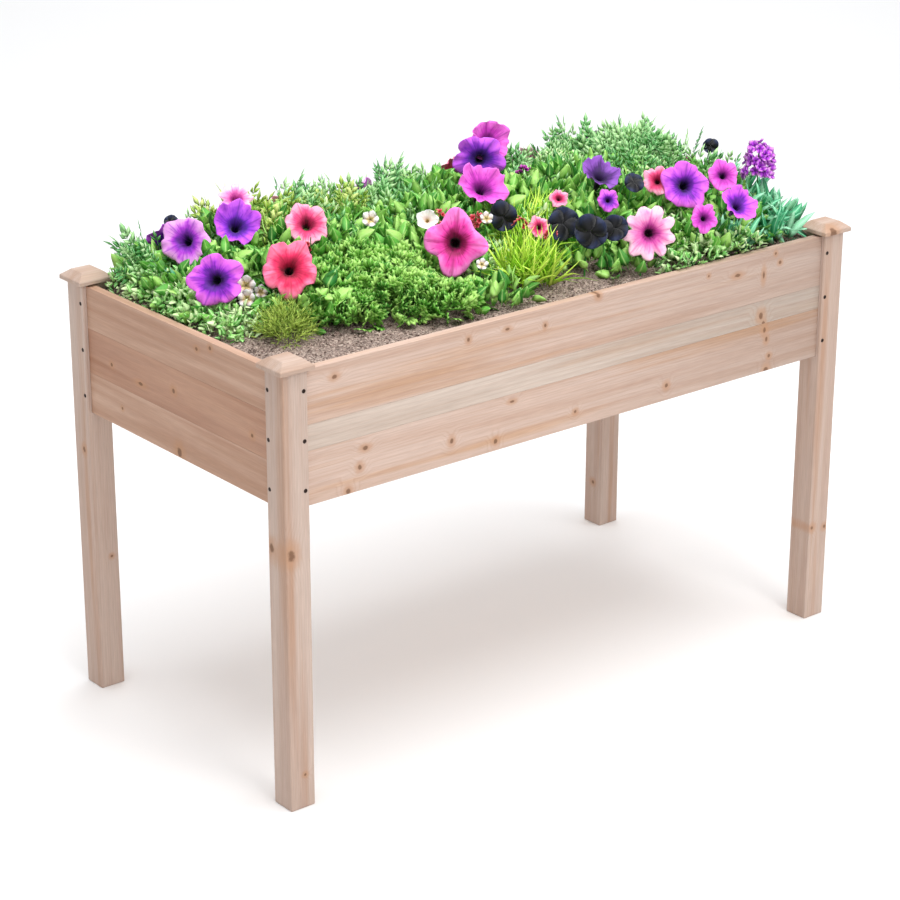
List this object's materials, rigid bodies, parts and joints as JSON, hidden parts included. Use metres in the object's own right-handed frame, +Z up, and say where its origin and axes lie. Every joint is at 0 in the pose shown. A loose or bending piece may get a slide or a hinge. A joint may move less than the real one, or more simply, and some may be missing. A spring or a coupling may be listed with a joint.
{
  "type": "raised planter on legs",
  "caption": "Long raised garden planter of bare fir on four square capped legs, boarded sides screwed in grooves, filled with soil and flowering plants.",
  "frame": {"origin": "on the ground, at the middle of the planter between its four legs", "axes": "+X along the length, +Y from the front long side to the back, +Z up"},
  "size_m": [1.218, 0.624, 0.8873],
  "materials": {
    "fir_legs": "sanded, bare",
    "fir_caps": "sanded, bare",
    "fir_boards": "sanded, bare",
    "rough_fir": "sawn, bare",
    "screws": "dark coated steel",
    "liner_felt": "non-woven felt",
    "potting_soil": "loose, dry at the surface",
    "plants": "leaves and petals"
  },
  "bodies": {
    "root": {"back_bottom_board": "fir_boards", "back_left_back_screw_bottom": "screws", "back_left_back_screw_middle": "screws", "back_left_back_screw_top": "screws", "back_left_cap": "fir_caps", "back_left_left_screw_bottom": "screws", "back_left_left_screw_middle": "screws", "back_left_left_screw_top": "screws", "back_left_leg": "fir_legs", "back_middle_board": "fir_boards", "back_rail": "rough_fir", "back_right_back_screw_bottom": "screws", "back_right_back_screw_middle": "screws", "back_right_back_screw_top": "screws", "back_right_cap": "fir_caps", "back_right_leg": "fir_legs", "back_right_right_screw_bottom": "screws", "back_right_right_screw_middle": "screws", "back_right_right_screw_top": "screws", "back_top_board": "fir_boards", "floor_slat_1": "rough_fir", "floor_slat_2": "rough_fir", "floor_slat_3": "rough_fir", "floor_slat_4": "rough_fir", "floor_slat_5": "rough_fir", "floor_slat_6": "rough_fir", "front_bottom_board": "fir_boards", "front_left_cap": "fir_caps", "front_left_front_screw_bottom": "screws", "front_left_front_screw_middle": "screws", "front_left_front_screw_top": "screws", "front_left_left_screw_bottom": "screws", "front_left_left_screw_middle": "screws", "front_left_left_screw_top": "screws", "front_left_leg": "fir_legs", "front_middle_board": "fir_boards", "front_rail": "rough_fir", "front_right_cap": "fir_caps", "front_right_front_screw_bottom": "screws", "front_right_front_screw_middle": "screws", "front_right_front_screw_top": "screws", "front_right_leg": "fir_legs", "front_right_right_screw_bottom": "screws", "front_right_right_screw_middle": "screws", "front_right_right_screw_top": "screws", "front_top_board": "fir_boards", "grass_clump": "plants", "herb_clump": "plants", "left_bottom_board": "fir_boards", "left_middle_board": "fir_boards", "left_rail": "rough_fir", "left_top_board": "fir_boards", "liner": "liner_felt", "petunia_clump_left": "plants", "petunia_clump_right": "plants", "right_bottom_board": "fir_boards", "right_middle_board": "fir_boards", "right_rail": "rough_fir", "right_top_board": "fir_boards", "soil": "potting_soil"}
  },
  "joints": []
}
